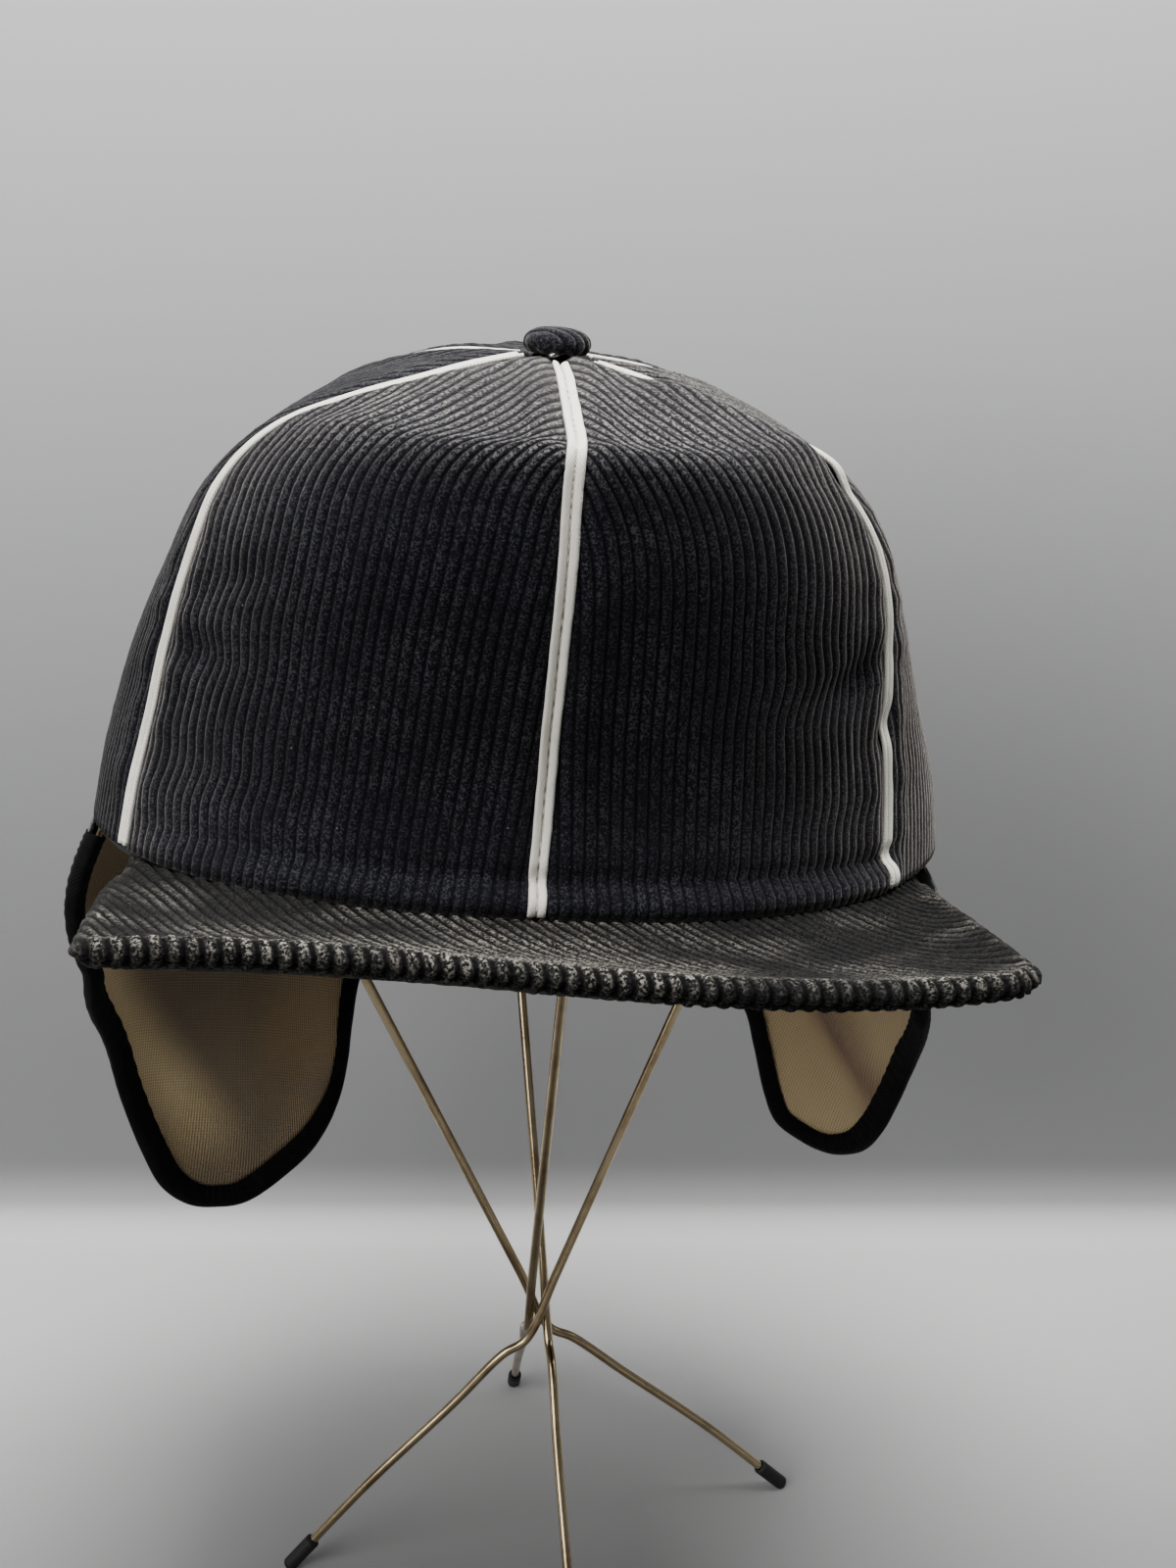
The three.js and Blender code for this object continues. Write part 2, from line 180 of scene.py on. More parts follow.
# Corduroy: u counts cords across the cloth, v runs along them. Tones run from deep pile to its tips, and the third
# tone is painted shade in the grooves.
def corduroy(name, tones, sheen, lint, ribs=0.0, dustAndLight=None):
    finish = Finish(
        name, Roughness=0.95, Sheen_Weight=sheen, Sheen_Roughness=0.36, Sheen_Tint=(0.95, 0.88, 0.8),
        Specular_IOR_Level=0.1,
    )
    u, v = finish.cloth()
    across = finish.maths("ABSOLUTE", finish.maths("FRACT", u) - 0.5) * 2
    grooveShade = finish.step(across, 0.5, 0.95)
    crest = 1 - finish.step(across, 0.2, 0.8)
    pile = finish.noise(1900, 2, 0.75)
    tufts = finish.noise(800, 2, 0.6)
    grain = finish.step(pile * 0.82 + tufts * 0.18, 0.46, 0.62)
    patch = finish.step(finish.noise(60, 3, 0.6), 0.3, 0.72)
    shade = finish.mix(grain * (patch * 0.6 + 0.4), tones[0], tones[1])
    # flecks of a given tone where the attribute says: painted light on the crown's top, and wear with painted light
    # on the peak
    if dustAndLight:
        flecks = finish.step(finish.noise(1500, 3, 0.7), 0.49, 0.58) * crest
        shade = finish.mix(flecks * finish.attribute("wornAndLit"), shade, dustAndLight)
    # painted shade: the grooves between the cords are darkened to the third tone
    shade = finish.mix(grooveShade * 0.85, shade, tones[2])
    fluff = finish.specks(230, 0.05, lint)
    finish.colour(finish.mix(fluff * 0.8, shade, (0.32, 0.31, 0.29)))
    height = pile * 0.45 + tufts * 0.35
    if ribs:
        height = height + (1 - across**3.0) * ribs
    finish.bump(height, 0.0006 if ribs else 0.0004, 0.9)
    return finish.material


def makeFinishes():
    found = {}
    black = [(0.0038, 0.0038, 0.0064), (0.046, 0.046, 0.052), (0.0012, 0.0012, 0.0024)]
    # the peak's copy of the black corduroy: its darker tones and weak sheen are painted shade
    shadedBlack = [(0.0018, 0.0018, 0.002), (0.03, 0.029, 0.027), (0.0006, 0.0006, 0.0007)]
    # lit and shaded copies of one corduroy: the front and right panels' copy has strong sheen and pale flecks of
    # painted light, the back and left panels' copy has weak sheen and dark flecks as painted shade
    found["crownCord"] = corduroy("crown corduroy", black, 0.36, 0.3, dustAndLight=(0.23, 0.218, 0.2))
    found["shadedCord"] = corduroy("shaded corduroy", black, 0.1, 0.3, dustAndLight=(0.05, 0.048, 0.046))
    found["bandCord"] = corduroy("band corduroy", black, 0.3, 0.2, ribs=1.0)
    # the peak's grey flecks are wear and painted light
    found["peakCord"] = corduroy("peak corduroy", shadedBlack, 0.04, 0.5, dustAndLight=(0.36, 0.34, 0.29))

    # Off-white cotton tape, herringbone, a little soiled
    tape = Finish("seam tape", Roughness=0.86, Sheen_Weight=0.15, Sheen_Roughness=0.5)
    u, v = tape.cloth()
    fromMiddle = tape.maths("ABSOLUTE", u - 0.5)
    rib = tape.wave(fromMiddle * 7 + v * 1.15)
    soil = tape.noise(190, 4, 0.65)
    base = tape.mix(tape.step(soil, 0.38, 0.72) * 0.4, (0.95, 0.92, 0.82), (0.74, 0.68, 0.56))
    # painted shade in the tape's middle groove, between the stitches
    stitchShade = (1 - tape.step(fromMiddle, 0.03, 0.1)) * (tape.wave(v * 0.37) * 0.5 + 0.35)
    base = tape.mix(stitchShade, base, (0.3, 0.26, 0.2))
    tape.colour(tape.mix(rib * 0.22, base, (0.45, 0.41, 0.34)))
    tape.bump(rib * 0.6 + tape.noise(2400, 2) * 0.6, 0.00016, 0.8)
    found["tape"] = tape.material

    thread = Finish("sewing thread", Roughness=0.7)
    thread.colour(thread.mix(thread.noise(900), (0.8, 0.76, 0.68), (0.55, 0.5, 0.42)))
    thread.bump(thread.noise(5200, 1), 0.0001, 0.6)
    found["thread"] = thread.material

    # Satin tricot: fine slanting knit rows with a soft golden sheen
    satin = Finish(
        "satin lining", Sheen_Weight=0.25, Sheen_Roughness=0.3, Sheen_Tint=(1.0, 0.8, 0.5),
        Anisotropic=0.5, Specular_IOR_Level=0.55,
    )
    u, v = satin.cloth()
    rows = satin.wave(u * 3.3 + v * 0.9)
    loops = satin.wave(v * 3.6 - u * 0.7)
    knit = rows * 0.62 + loops * 0.38
    tone = satin.noise(26, 3, 0.55)
    base = satin.mix(satin.step(tone, 0.36, 0.66), (0.27, 0.18, 0.08), (0.19, 0.14, 0.078))
    # the front of the left flap catches the light, and the right flap is lit through its mouth
    slanted = u - v * 0.57
    glow = (1 - satin.step(slanted, 43, 50)) * satin.step(v, 7, 15) * (1 - satin.step(v, 26, 40))
    base = satin.mix(glow, base, (1.0, 0.76, 0.4))
    base = satin.mix(satin.step(u, 100, 120) * 0.8, base, (0.6, 0.45, 0.23))
    # painted shade: the lining is darkened along the right flap's deep fold
    base = satin.mix(satin.attribute("foldShade"), base, (0.16, 0.075, 0.045))
    satin.colour(satin.mix(knit * 0.62, base, (0.075, 0.048, 0.024)))
    satin.roughness(0.4 + knit * 0.16)
    satin.bump(knit * -0.7 + satin.noise(2100, 1) * 0.25, 0.0004, 0.9)
    found["satin"] = satin.material

    binding = Finish("bias binding", Roughness=0.88, Sheen_Weight=0.01, Sheen_Roughness=0.5, Specular_IOR_Level=0.1)
    u, v = binding.cloth()
    twill = binding.wave(u * 2.2 + v * 2.2)
    fuzz = binding.noise(300, 4, 0.6)
    base = binding.mix(binding.step(fuzz, 0.4, 0.7), (0.0016, 0.0016, 0.002), (0.004, 0.004, 0.0046))
    binding.colour(binding.mix(twill * 0.3, base, (0.001, 0.001, 0.0012)))
    binding.bump(twill * 0.4 + fuzz * 0.6, 0.0002, 0.7)
    found["binding"] = binding.material

    cotton = Finish("cotton backing", Roughness=0.9, Sheen_Weight=0.1)
    u, v = cotton.cloth()
    weave = cotton.wave(u * 3.0) * cotton.wave(v * 3.0)
    cotton.colour(cotton.mix(weave, (0.012, 0.012, 0.013), (0.026, 0.025, 0.025)))
    cotton.bump(weave * 0.5 + cotton.noise(900) * 0.5, 0.0002, 0.7)
    found["backing"] = cotton.material

    # Antique brass plating, worn brighter in places and brown where it has aged
    brass = Finish("antique brass", Metallic=1.0)
    aged = brass.noise(48, 5, 0.65)
    fine = brass.noise(420, 3, 0.6)
    base = brass.mix(brass.step(aged, 0.44, 0.66), (0.42, 0.33, 0.2), (0.24, 0.17, 0.095))
    brass.colour(brass.mix(brass.step(fine, 0.58, 0.76) * 0.5, base, (0.16, 0.11, 0.06)))
    brass.roughness(0.12 + aged * 0.14 + fine * 0.06)
    brass.bump(fine, 0.00006, 0.5)
    found["brass"] = brass.material

    rubber = Finish("rubber tip", Roughness=0.6, Specular_IOR_Level=0.3)
    grain = rubber.noise(1500, 3)
    rubber.colour(rubber.mix(grain, (0.005, 0.005, 0.0055), (0.016, 0.016, 0.017)))
    rubber.roughness(0.5 + grain * 0.25)
    rubber.bump(grain, 0.00008, 0.5)
    found["rubber"] = rubber.material

    paper = Finish("backdrop paper", Roughness=0.8, Specular_IOR_Level=0.2)
    # painted light: the wall is painted darker at its foot and paler towards its top, as the lamp above lights it
    rise = paper.step(paper.height(), 0.02, 0.75)
    base = paper.mix(rise, (0.2, 0.2, 0.2), (0.85, 0.85, 0.85))
    onFloor = 1 - paper.step(paper.height(), 0.004, 0.03)
    # painted light: the floor is painted darker towards the camera, further from the lamp above
    floor = paper.mix(paper.step(paper.height(1), -0.06, 0.16), (0.18, 0.18, 0.178), (0.47, 0.47, 0.465))
    paper.colour(paper.mix(onFloor, base, floor))
    # clear from behind, so that it hides nothing there
    paper.set(paper.shader["Alpha"], 1 - paper.node("NewGeometry", output="Backfacing"))
    paper.bump(paper.noise(700, 2), 0.0001, 0.15)
    found["paper"] = paper.material
    return found


addCamera()
finishes = makeFinishes()
print("camera and finishes made")

# Where the cap sits on the stand, in mm and degrees
capSeat = {"middle": (-4.5, 13, 207), "frontUp": 2.6, "rightDown": 4.6}
capTurn = Matrix.Rotation(math.radians(capSeat["rightDown"]), 3, "Y") @ Matrix.Rotation(
    -math.radians(capSeat["frontUp"]), 3, "X"
)


def seated(point):
    return (capTurn @ point + Vector(capSeat["middle"]) + origin) * mm


# A grid laid out by a rule: rule(s, t) gives a point in mm, its u and v, and its attribute value
def laidCloth(name, columns, rows, rule, material, place=seated, attribute=None, closed=False):
    mesh = bmesh.new()
    bmesh.ops.create_grid(mesh, x_segments=columns, y_segments=rows, size=0.5)
    uv = mesh.loops.layers.uv.new("cloth")
    extra = mesh.verts.layers.float.new(attribute) if attribute else None
    laid = {}
    for vert in mesh.verts:
        point, cloth, value = rule(clamp(vert.co.x + 0.5), clamp(vert.co.y + 0.5))
        vert.co = place(point)
        laid[vert] = cloth
        if extra:
            vert[extra] = value
    for face in mesh.faces:
        face.smooth = True
        for loop in face.loops:
            loop[uv].uv = laid[loop.vert]
    laid.clear()
    if closed:
        bmesh.ops.remove_doubles(mesh, verts=mesh.verts, dist=1e-6)
    bmesh.ops.dissolve_degenerate(mesh, edges=mesh.edges, dist=1e-7)
    return finished(name, mesh, material)


def finished(name, mesh, material):
    data = bpy.data.meshes.new(name)
    mesh.to_mesh(data)
    mesh.free()
    data.materials.append(finishes[material])
    piece = bpy.data.objects.new(name, data)
    bpy.context.collection.objects.link(piece)
    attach(piece, "root")
    return piece


# A smooth line through the rows of a table, each a tuple of numbers
def tableLine(rows):
    last = len(rows) - 1

    def at(t):
        x = clamp(t) * last
        i = min(int(x), last - 1)
        k = x - i
        before, start, end, after = rows[max(i - 1, 0)], rows[i], rows[i + 1], rows[min(i + 2, last)]
        found = []
        for n in range(len(start)):
            a = (end[n] - before[n]) / (2 if i > 0 else 1)
            b = (after[n] - start[n]) / (2 if i + 2 <= last else 1)
            rise = end[n] - start[n]
            found.append(start[n] + a * k + (3 * rise - 2 * a - b) * k * k + (a + b - 2 * rise) * k**3)
        return found

    return at


# The crown's rings from the rim up: height, half width, half depth, centre, shift, slope
crown = {
    "rings": [
        (0, 102, 82, 0.5, 1, 0),
        (19, 99.5, 81.5, 2.5, 1.5, -2),
        (40, 94, 81.5, -0.5, 1.5, -4.5),
        (61, 86, 80.5, -7, 1.5, -6.5),
        (79, 77.5, 76, -13, 1, -5.5),
        (93, 65, 68.5, -20, 1, -2),
        (103, 49.5, 56, -26.5, 1, 4.5),
        (110, 28, 34, -31, 0.5, 7),
        (113.5, 5, 5, -34.5, 0, 4),
    ],
    "squareness": 2.15,
    "seams": [-1, 60.5, 120, 180, 240, 298.5, 359],
    # how far the two side seams stray, in even steps from the rim to the top
    "drift": {1: [(-8,), (-8,), (-3.5,), (-4,), (-2,), (0,)], 5: [(-0.5,), (0,), (-3,), (-6,), (-5,), (0,)]},
    "panels": ["front_right", "side_right", "back_right", "back_left", "side_left", "front_left"],
    "tapes": ["front", "right", "rear_right", "back", "rear_left", "left"],
    # each panel's flat cut: width and length in metres and area in square metres
    "cuts": [
        (0.093, 0.155, 0.0101), (0.102, 0.172, 0.0125), (0.101, 0.184, 0.0122), (0.101, 0.183, 0.0122),
        (0.089, 0.17, 0.0109), (0.102, 0.154, 0.0111),
    ],
    # the back and left panels, cut from the copy painted in shade
    "shadedPanels": [2, 3, 4],
    "cordPitch": 2.68,
    "cordHeight": 0.48,
    "perCord": 6,
    "rows": 88,
    "rimWrap": [(1.9, 0.6), (1.5, 0.1), (0.8, -0.25), (0.2, -0.1)],
    "seamDip": 0.9,
    "seamGap": 0.08,
    "topRise": 0.992,
    "samples": 72,
    "climbSteps": 200,
    "hemHeight": 6.2,
    "hemProud": 2.4,
}
ringAt = tableLine(crown["rings"])


def signedPower(value, exponent):
    return math.copysign(abs(value) ** exponent, value)


def crownPoint(angle, rise):
    height, halfWidth, halfDepth, centre, shift, slope = ringAt(rise)
    a = math.radians(angle)
    x = halfWidth * signedPower(math.sin(a), 2 / crown["squareness"])
    y = -halfDepth * signedPower(math.cos(a), 2 / crown["squareness"])
    return Vector((shift + x, centre + y, height + math.tan(math.radians(slope)) * y))


def crownNormal(angle, rise):
    across = crownPoint(angle + 0.4, rise) - crownPoint(angle - 0.4, rise)
    low, high = max(rise - 0.004, 0), min(rise + 0.004, 1)
    return across.cross(crownPoint(angle, high) - crownPoint(angle, low)).normalized()


drifts = {seam: tableLine(rows) for seam, rows in crown["drift"].items()}


def seamAngle(seam, rise):
    return crown["seams"][seam] + (drifts[seam](rise)[0] if seam in drifts else 0)


# How far up the crown's own surface each rise is, in mm
def climbTable(angle):
    lengths = [0.0]
    steps = crown["climbSteps"]
    for i in range(steps):
        step = crownPoint(angle, (i + 1) / steps) - crownPoint(angle, i / steps)
        lengths.append(lengths[-1] + step.length)
    return lengths


def climbAt(table, rise):
    last = len(table) - 1
    x = clamp(rise) * last
    i = min(int(x), last - 1)
    return table[i] + (table[i + 1] - table[i]) * (x - i)


# The rolled hem above the peak, stronger on the right
def hemRelief(angle, climb):
    turned = (angle + 180) % 360 - 180
    strength = 0.35 + 0.65 * smooth(turned, -42, -8)
    strength *= 1 - smooth(abs(turned), 50, 60)
    roll = math.sin(math.pi * clamp((climb + 1.2) / (crown["hemHeight"] + 1.6))) ** 0.8
    crease = hump(climb, crown["hemHeight"] + 2.2, 1.7)
    return strength * (crown["hemProud"] * roll - 1.2 * crease)


# Folds and dents of the shell, without its cords. seamDistance is in mm.
def shellRelief(angle, climb, seamDistance):
    turned = (angle + 180) % 360 - 180
    relief = hemRelief(angle, climb)
    relief += 0.9 * rough(turned * 0.9, climb, 3.0, 34)
    relief -= crown["seamDip"] * math.exp(-((seamDistance / 2.4) ** 2))
    relief += 0.75 * hump(seamDistance, 6.5, 3.6) * smooth(climb, 4, 14)
    besideSide = smooth(abs(turned), 34, 56) * (1 - smooth(abs(turned), 66, 86))
    ripple = math.sin(climb / 2.0 + 3.2 * rough(turned, climb, 9.0, 26))
    offSeam = smooth(seamDistance, 1, 7)
    relief += 0.55 * besideSide * ripple * offSeam * math.exp(-seamDistance / 15) * hump(climb, 52, 34)
    pucker = math.sin(climb / 1.15 + 2.5 * rough(turned, climb, 1.0, 15))
    relief += 0.16 * pucker * offSeam * math.exp(-seamDistance / 8) * smooth(climb, 9, 16)
    # the shell stands out below the right temple, and swells beside the front's top edge
    relief += 5 * hump(turned, 92, 20) * (1 - smooth(climb, 4, 50))
    ahead = smooth(climb, 95, 104) * (1 - smooth(climb, 128, 140))
    relief += ahead * (2.5 * (1 - smooth(turned, 55, 60.5)) * smooth(turned, 20, 50) + 1.2 * hump(turned, -44, 12))
    # the dents inside the right seam and beside the left one
    relief -= 2.1 * hump(turned, 44, 8) * hump(climb - 0.55 * (turned - 44), 52, 4.2)
    relief -= 1.5 * hump(turned, 51, 6) * hump(climb - 0.4 * (turned - 51), 38, 4.0)
    relief -= 1.3 * hump(turned, -52, 7) * hump(climb + 0.4 * (turned + 52), 50, 4.0)
    relief -= 1.2 * hump(turned, -50, 8) * hump(climb, 67, 4.0)
    return relief


# Sideways sway of the cords where the cloth is pinched
def sway(turned, climb):
    drift = (0.4 + 1.3 * smooth(climb, 60, 100)) * rough(turned * 0.35, climb, 21.0, 30)
    drift += 2.2 * hump(turned, 40, 13) * math.sin((climb - 46) / 4.6) * hump(climb, 48, 13)
    drift += 1.1 * hump(turned, -50, 12) * math.sin((climb - 40) / 4.4) * hump(climb, 50, 16)
    drift += 0.9 * hump(abs(turned), 48, 16) * math.sin(climb / 3.1) * hump(climb, 20, 10)
    return drift


def cordShape(across):
    return 1 - abs(2 * (across % 1) - 1) ** 3.2


def crownPanel(index):
    climbs = climbTable((crown["seams"][index] + crown["seams"][index + 1]) / 2)
    pitch = crown["cordPitch"]
    tables = []
    widest = 0
    samples = crown["samples"]
    wrap = crown["rimWrap"]
    for row in range(crown["rows"] + 1):
        rise = max(row - len(wrap), 0) / (crown["rows"] - len(wrap)) * crown["topRise"]
        start, end = seamAngle(index, rise) + crown["seamGap"], seamAngle(index + 1, rise) - crown["seamGap"]
        points, normals, lengths = [], [], [0.0]
        for i in range(samples + 1):
            angle = start + (end - start) * i / samples
            points.append(crownPoint(angle, rise))
            normals.append(crownNormal(angle, rise))
            if i:
                lengths.append(lengths[-1] + (points[i] - points[i - 1]).length)
        half = lengths[samples // 2]
        lengths = [x - half for x in lengths]
        tables.append((start, end, climbAt(climbs, rise), points, normals, lengths))
        widest = max(widest, -lengths[0], lengths[-1])
    cords = math.ceil(widest / pitch)
    columns = 2 * cords * crown["perCord"]

    def rule(s, t):
        row = round(t * crown["rows"])
        start, end, climb, points, normals, lengths = tables[row]
        across = round(s * columns) / crown["perCord"] - cords
        reach = across * pitch
        turnedAt = start + (end - start) * clamp((reach - lengths[0]) / (lengths[-1] - lengths[0]))
        inside = smooth(min(reach - lengths[0], lengths[-1] - reach), 1, 9)
        swayed = reach + sway((turnedAt + 180) % 360 - 180, climb) * inside
        held = clamp(swayed, lengths[0], lengths[-1])
        i = min(max(bisect_left(lengths, held) - 1, 0), samples - 1)
        k = clamp((held - lengths[i]) / max(lengths[i + 1] - lengths[i], 1e-9))
        angle = start + (end - start) * (i + k) / samples
        seamDistance = min(held - lengths[0], lengths[-1] - held)
        relief = shellRelief(angle, climb, seamDistance)
        cord = crown["cordHeight"] * (1 + 0.25 * rough(across, climb * 0.08, index * 5.0, 1.3))
        relief += cord * (cordShape(across) - 0.5) * smooth(seamDistance, 0.2, 1.8)
        relief += 0.1 * rough(across * 2, climb, index * 3.0, 1.6)
        point = points[i].lerp(points[i + 1], k)
        if row < len(wrap):
            relief = relief * (1 - wrap[row][0] / 2) - wrap[row][0]
            point.z += wrap[row][1]
        point += normals[i].lerp(normals[i + 1], k) * relief
        u = across if held == swayed else held / pitch
        # painted light: the top of the crown, lit from above, is given pale flecks through this attribute
        topLight = smooth(climb, 86, 112) * clamp(0.75 + 0.5 * rough(reach, climb, 17.0, 22))
        return point, (u, climb / pitch), topLight

    name = crown["panels"][index]
    # the back and left panels take the corduroy copy painted in shade
    material = "shadedCord" if index in crown["shadedPanels"] else "crownCord"
    piece = laidCloth("crown_" + name, columns, crown["rows"], rule, material, attribute="wornAndLit", closed=True)
    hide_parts("crown_panel_" + name)


for panelIndex in range(6):
    crownPanel(panelIndex)
print("crown panels made")


# The cloth's plain back, one shell inside the six panels, whose skirt closes the gap above the ear band, in mm
backing = {
    "depth": 1.7,
    "topRise": 0.985,
    "skirt": 1.9,
    "skirtEnd": 0.03,
    "columns": 120,
    "rows": 40,
    "threadsAround": 200,
    "threadPitch": 2.8,
}


def crownBack():
    climbs = climbTable(0)

    def rule(s, t):
        angle = -360 * s
        rise = t * backing["topRise"]
        climb = climbAt(climbs, rise)
        dent = min(shellRelief(angle, climb, 20), 0)
        point = crownPoint(angle, rise) + crownNormal(angle, rise) * (dent - backing["depth"])
        point.z -= backing["skirt"] * (1 - smooth(t, 0, backing["skirtEnd"]))
        return point, (s * backing["threadsAround"], climb / backing["threadPitch"]), 0

    piece = laidCloth("crown_back", backing["columns"], backing["rows"], rule, "backing", closed=True)


crownBack()

# The stitched tapes that cover the seams, in mm
tape = {
    "width": 3.9,
    "thickness": 0.5,
    "above": 0.25,
    "lobe": 0.42,
    "groove": 0.34,
    "wobble": 0.16,
    "start": 0.004,
    "span": 0.972,
    "columns": 12,
    "rows": 190,
}
stitch = {"pitch": 2.7, "length": 2.0, "width": 0.42, "height": 0.3, "sunk": 0.12, "span": 0.95}


def tapeLine(index, along):
    rise = tape["start"] + along * tape["span"]
    return seamAngle(index, rise), rise


def tapeSurface(index, along, offset, climbs, proud):
    angle, rise = tapeLine(index, along)
    climb = climbAt(climbs, rise)
    perMm = 1 / max((crownPoint(angle + 0.5, rise) - crownPoint(angle - 0.5, rise)).length, 0.02)
    offset += tape["wobble"] * rough(climb, index * 7.0, 2.0, 9)
    normal = crownNormal(angle, rise)
    relief = shellRelief(angle, climb, abs(offset)) + crown["seamDip"] * 0.55
    return crownPoint(angle + offset * perMm, rise) + normal * (relief + proud), climb


def seamTape(index):
    climbs = climbTable(crown["seams"][index])

    def rule(s, t):
        side = 2 * s - 1
        width = tape["width"] * (1 + 0.05 * rough(t * 40, index * 3.0, side, 1.0))
        lobe = math.sin(math.pi * abs(side)) ** 0.7 if abs(side) < 1 else 0
        proud = tape["above"] + tape["lobe"] * lobe - 0.55 * smooth(abs(side), 0.86, 1)
        proud -= tape["groove"] * math.exp(-((side / 0.13) ** 2))
        point, climb = tapeSurface(index, t, side * width / 2, climbs, proud)
        return point, (s, climb), 0

    name = crown["tapes"][index]
    piece = laidCloth("tape_" + name, tape["columns"], tape["rows"], rule, "tape")
    thick = piece.modifiers.new("thickness", "SOLIDIFY")
    thick.thickness = tape["thickness"] * mm
    thick.offset = -1
    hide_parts("seam_tape_" + name)
    return climbs


# Lockstitches lying in the groove of each tape
def seamStitches(index, climbs):
    mesh = bmesh.new()
    uv = mesh.loops.layers.uv.new("cloth")
    count = int(climbs[-1] * stitch["span"] / stitch["pitch"])
    height = tape["above"] - stitch["sunk"]
    for i in range(count):
        along = (i + 0.5) / count
        middle, climb = tapeSurface(index, along, 0, climbs, height)
        ahead, climb = tapeSurface(index, along + 0.004, 0, climbs, height)
        normal = crownNormal(*tapeLine(index, along))
        forward = (ahead - middle).normalized()
        side = normal.cross(forward)
        spin = Matrix((side, forward, normal)).transposed()
        made = bmesh.ops.create_icosphere(mesh, subdivisions=1, radius=0.5)["verts"]
        for vert in made:
            size = Vector((stitch["width"], stitch["length"], stitch["height"]))
            vert.co = seated(middle + spin @ Vector([a * b for a, b in zip(vert.co, size)]))
    for face in mesh.faces:
        face.smooth = True
        for loop in face.loops:
            loop[uv].uv = (0, 0)
    piece = finished("stitches_" + crown["tapes"][index], mesh, "thread")


for tapeIndex in range(6):
    seamStitches(tapeIndex, seamTape(tapeIndex))
print("seam tapes made")

# A round shape, turned from its profile about the upright axis
def turnProfile(mesh, verts, edges, segments, merge):
    bmesh.ops.spin(
        mesh, geom=verts + edges, axis=(0, 0, 1), cent=(0, 0, 0), angle=2 * math.pi, steps=segments, use_merge=True,
    )
    bmesh.ops.remove_doubles(mesh, verts=mesh.verts, dist=merge)
    bmesh.ops.recalc_face_normals(mesh, faces=mesh.faces)


# The covered button: profile as (radius, height) in mm
button = {
    "profile": [
        (0, 0.2), (4.2, 0), (6.1, 0.1), (6.9, 0.8), (7.1, 1.9), (6.8, 3.1), (5.7, 4.1), (3.9, 4.8), (1.9, 5.05),
        (0, 5.1),
    ],
    "pitch": 2.5,
    "cordHeight": 0.85,
    "turn": 52,
    "lift": 0.4,
    "rows": 44,
    "segments": 120,
}


def topButton():
    mesh = bmesh.new()
    line = tableLine(button["profile"])
    steps = button["rows"]
    points = [line(i / steps) for i in range(steps + 1)]
    verts = [mesh.verts.new((max(r, 0) * mm, 0, z * mm)) for r, z in points]
    edges = [mesh.edges.new(pair) for pair in zip(verts, verts[1:])]
    turnProfile(mesh, verts, edges, button["segments"], 1e-6)
    mesh.normal_update()
    uv = mesh.loops.layers.uv.new("cloth")
    turn = math.radians(button["turn"])
    laid = {}
    for vert in mesh.verts:
        x, y, z = vert.co / mm
        across = (x * math.cos(turn) + y * math.sin(turn)) / button["pitch"] + 0.12 * rough(x, y, z, 3)
        along = (y * math.cos(turn) - x * math.sin(turn)) / button["pitch"]
        around = math.atan2(y, x)
        tuck = 0.3 * math.sin(around * 11 + 2 * rough(x, y, 0, 6)) * (1 - smooth(z, 0.3, 2.2))
        laid[vert] = (across, along, (cordShape(across) - 0.6) * button["cordHeight"] * smooth(z, 0.4, 1.6) + tuck)
    for vert in mesh.verts:
        vert.co += vert.normal * laid[vert][2] * mm
    for face in mesh.faces:
        face.smooth = True
        for loop in face.loops:
            loop[uv].uv = laid[loop.vert][:2]
    top = crown["rings"][-1]
    tilt = Matrix.Rotation(math.radians(top[5]), 3, "X")
    for vert in mesh.verts:
        vert.co = seated(tilt @ (vert.co / mm) + Vector((top[4], top[3], top[0] + button["lift"])))
    piece = finished("button", mesh, "crownCord")
    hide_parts("top_button")


topButton()
print("button made")

# The peak: a board covered in corduroy whose cords run a little to the right of straight ahead
peak = {
    "leftEnd": 61.4,
    "rightEnd": 68,
    "length": 66.3,
    "halfWidth": 83.4,
    "frontShift": -2.1,
    "flare": 2.5,
    "corner": {"radius": 7.9, "from": 0.42, "to": 0.58},
    "clear": 1.1,
    "tuck": 3.3,
    "rise": 0.196,
    "sideRise": 2.6,
    "endRise": 5.5,
    "twist": 0.064,
    "thickness": 4.6,
    "pitch": 2.8,
    "cordHeight": 0.9,
    "cordTurn": 21,
    "columns": 600,
    "topRows": 100,
    "edgeRows": 16,
    "underRows": 18,
    "outlineSteps": 4000,
}


# The outline: a straight front, rounded corners and straight ends, as shares of the half width and the reach
def peakOutline(side, reach):
    radius, low, high = peak["corner"]["radius"], peak["corner"]["from"], peak["corner"]["to"]
    part = abs(side)
    across, along = radius / peak["halfWidth"], radius / reach
    if part < low:
        return side / low * (1 - across), 1
    if part > high:
        return math.copysign(1, side), (1 - along) * (1 - part) / (1 - high)
    turn = (part - low) / (high - low) * math.pi / 2
    return math.copysign(1 - across * (1 - math.sin(turn)), side), 1 - along * (1 - math.cos(turn))


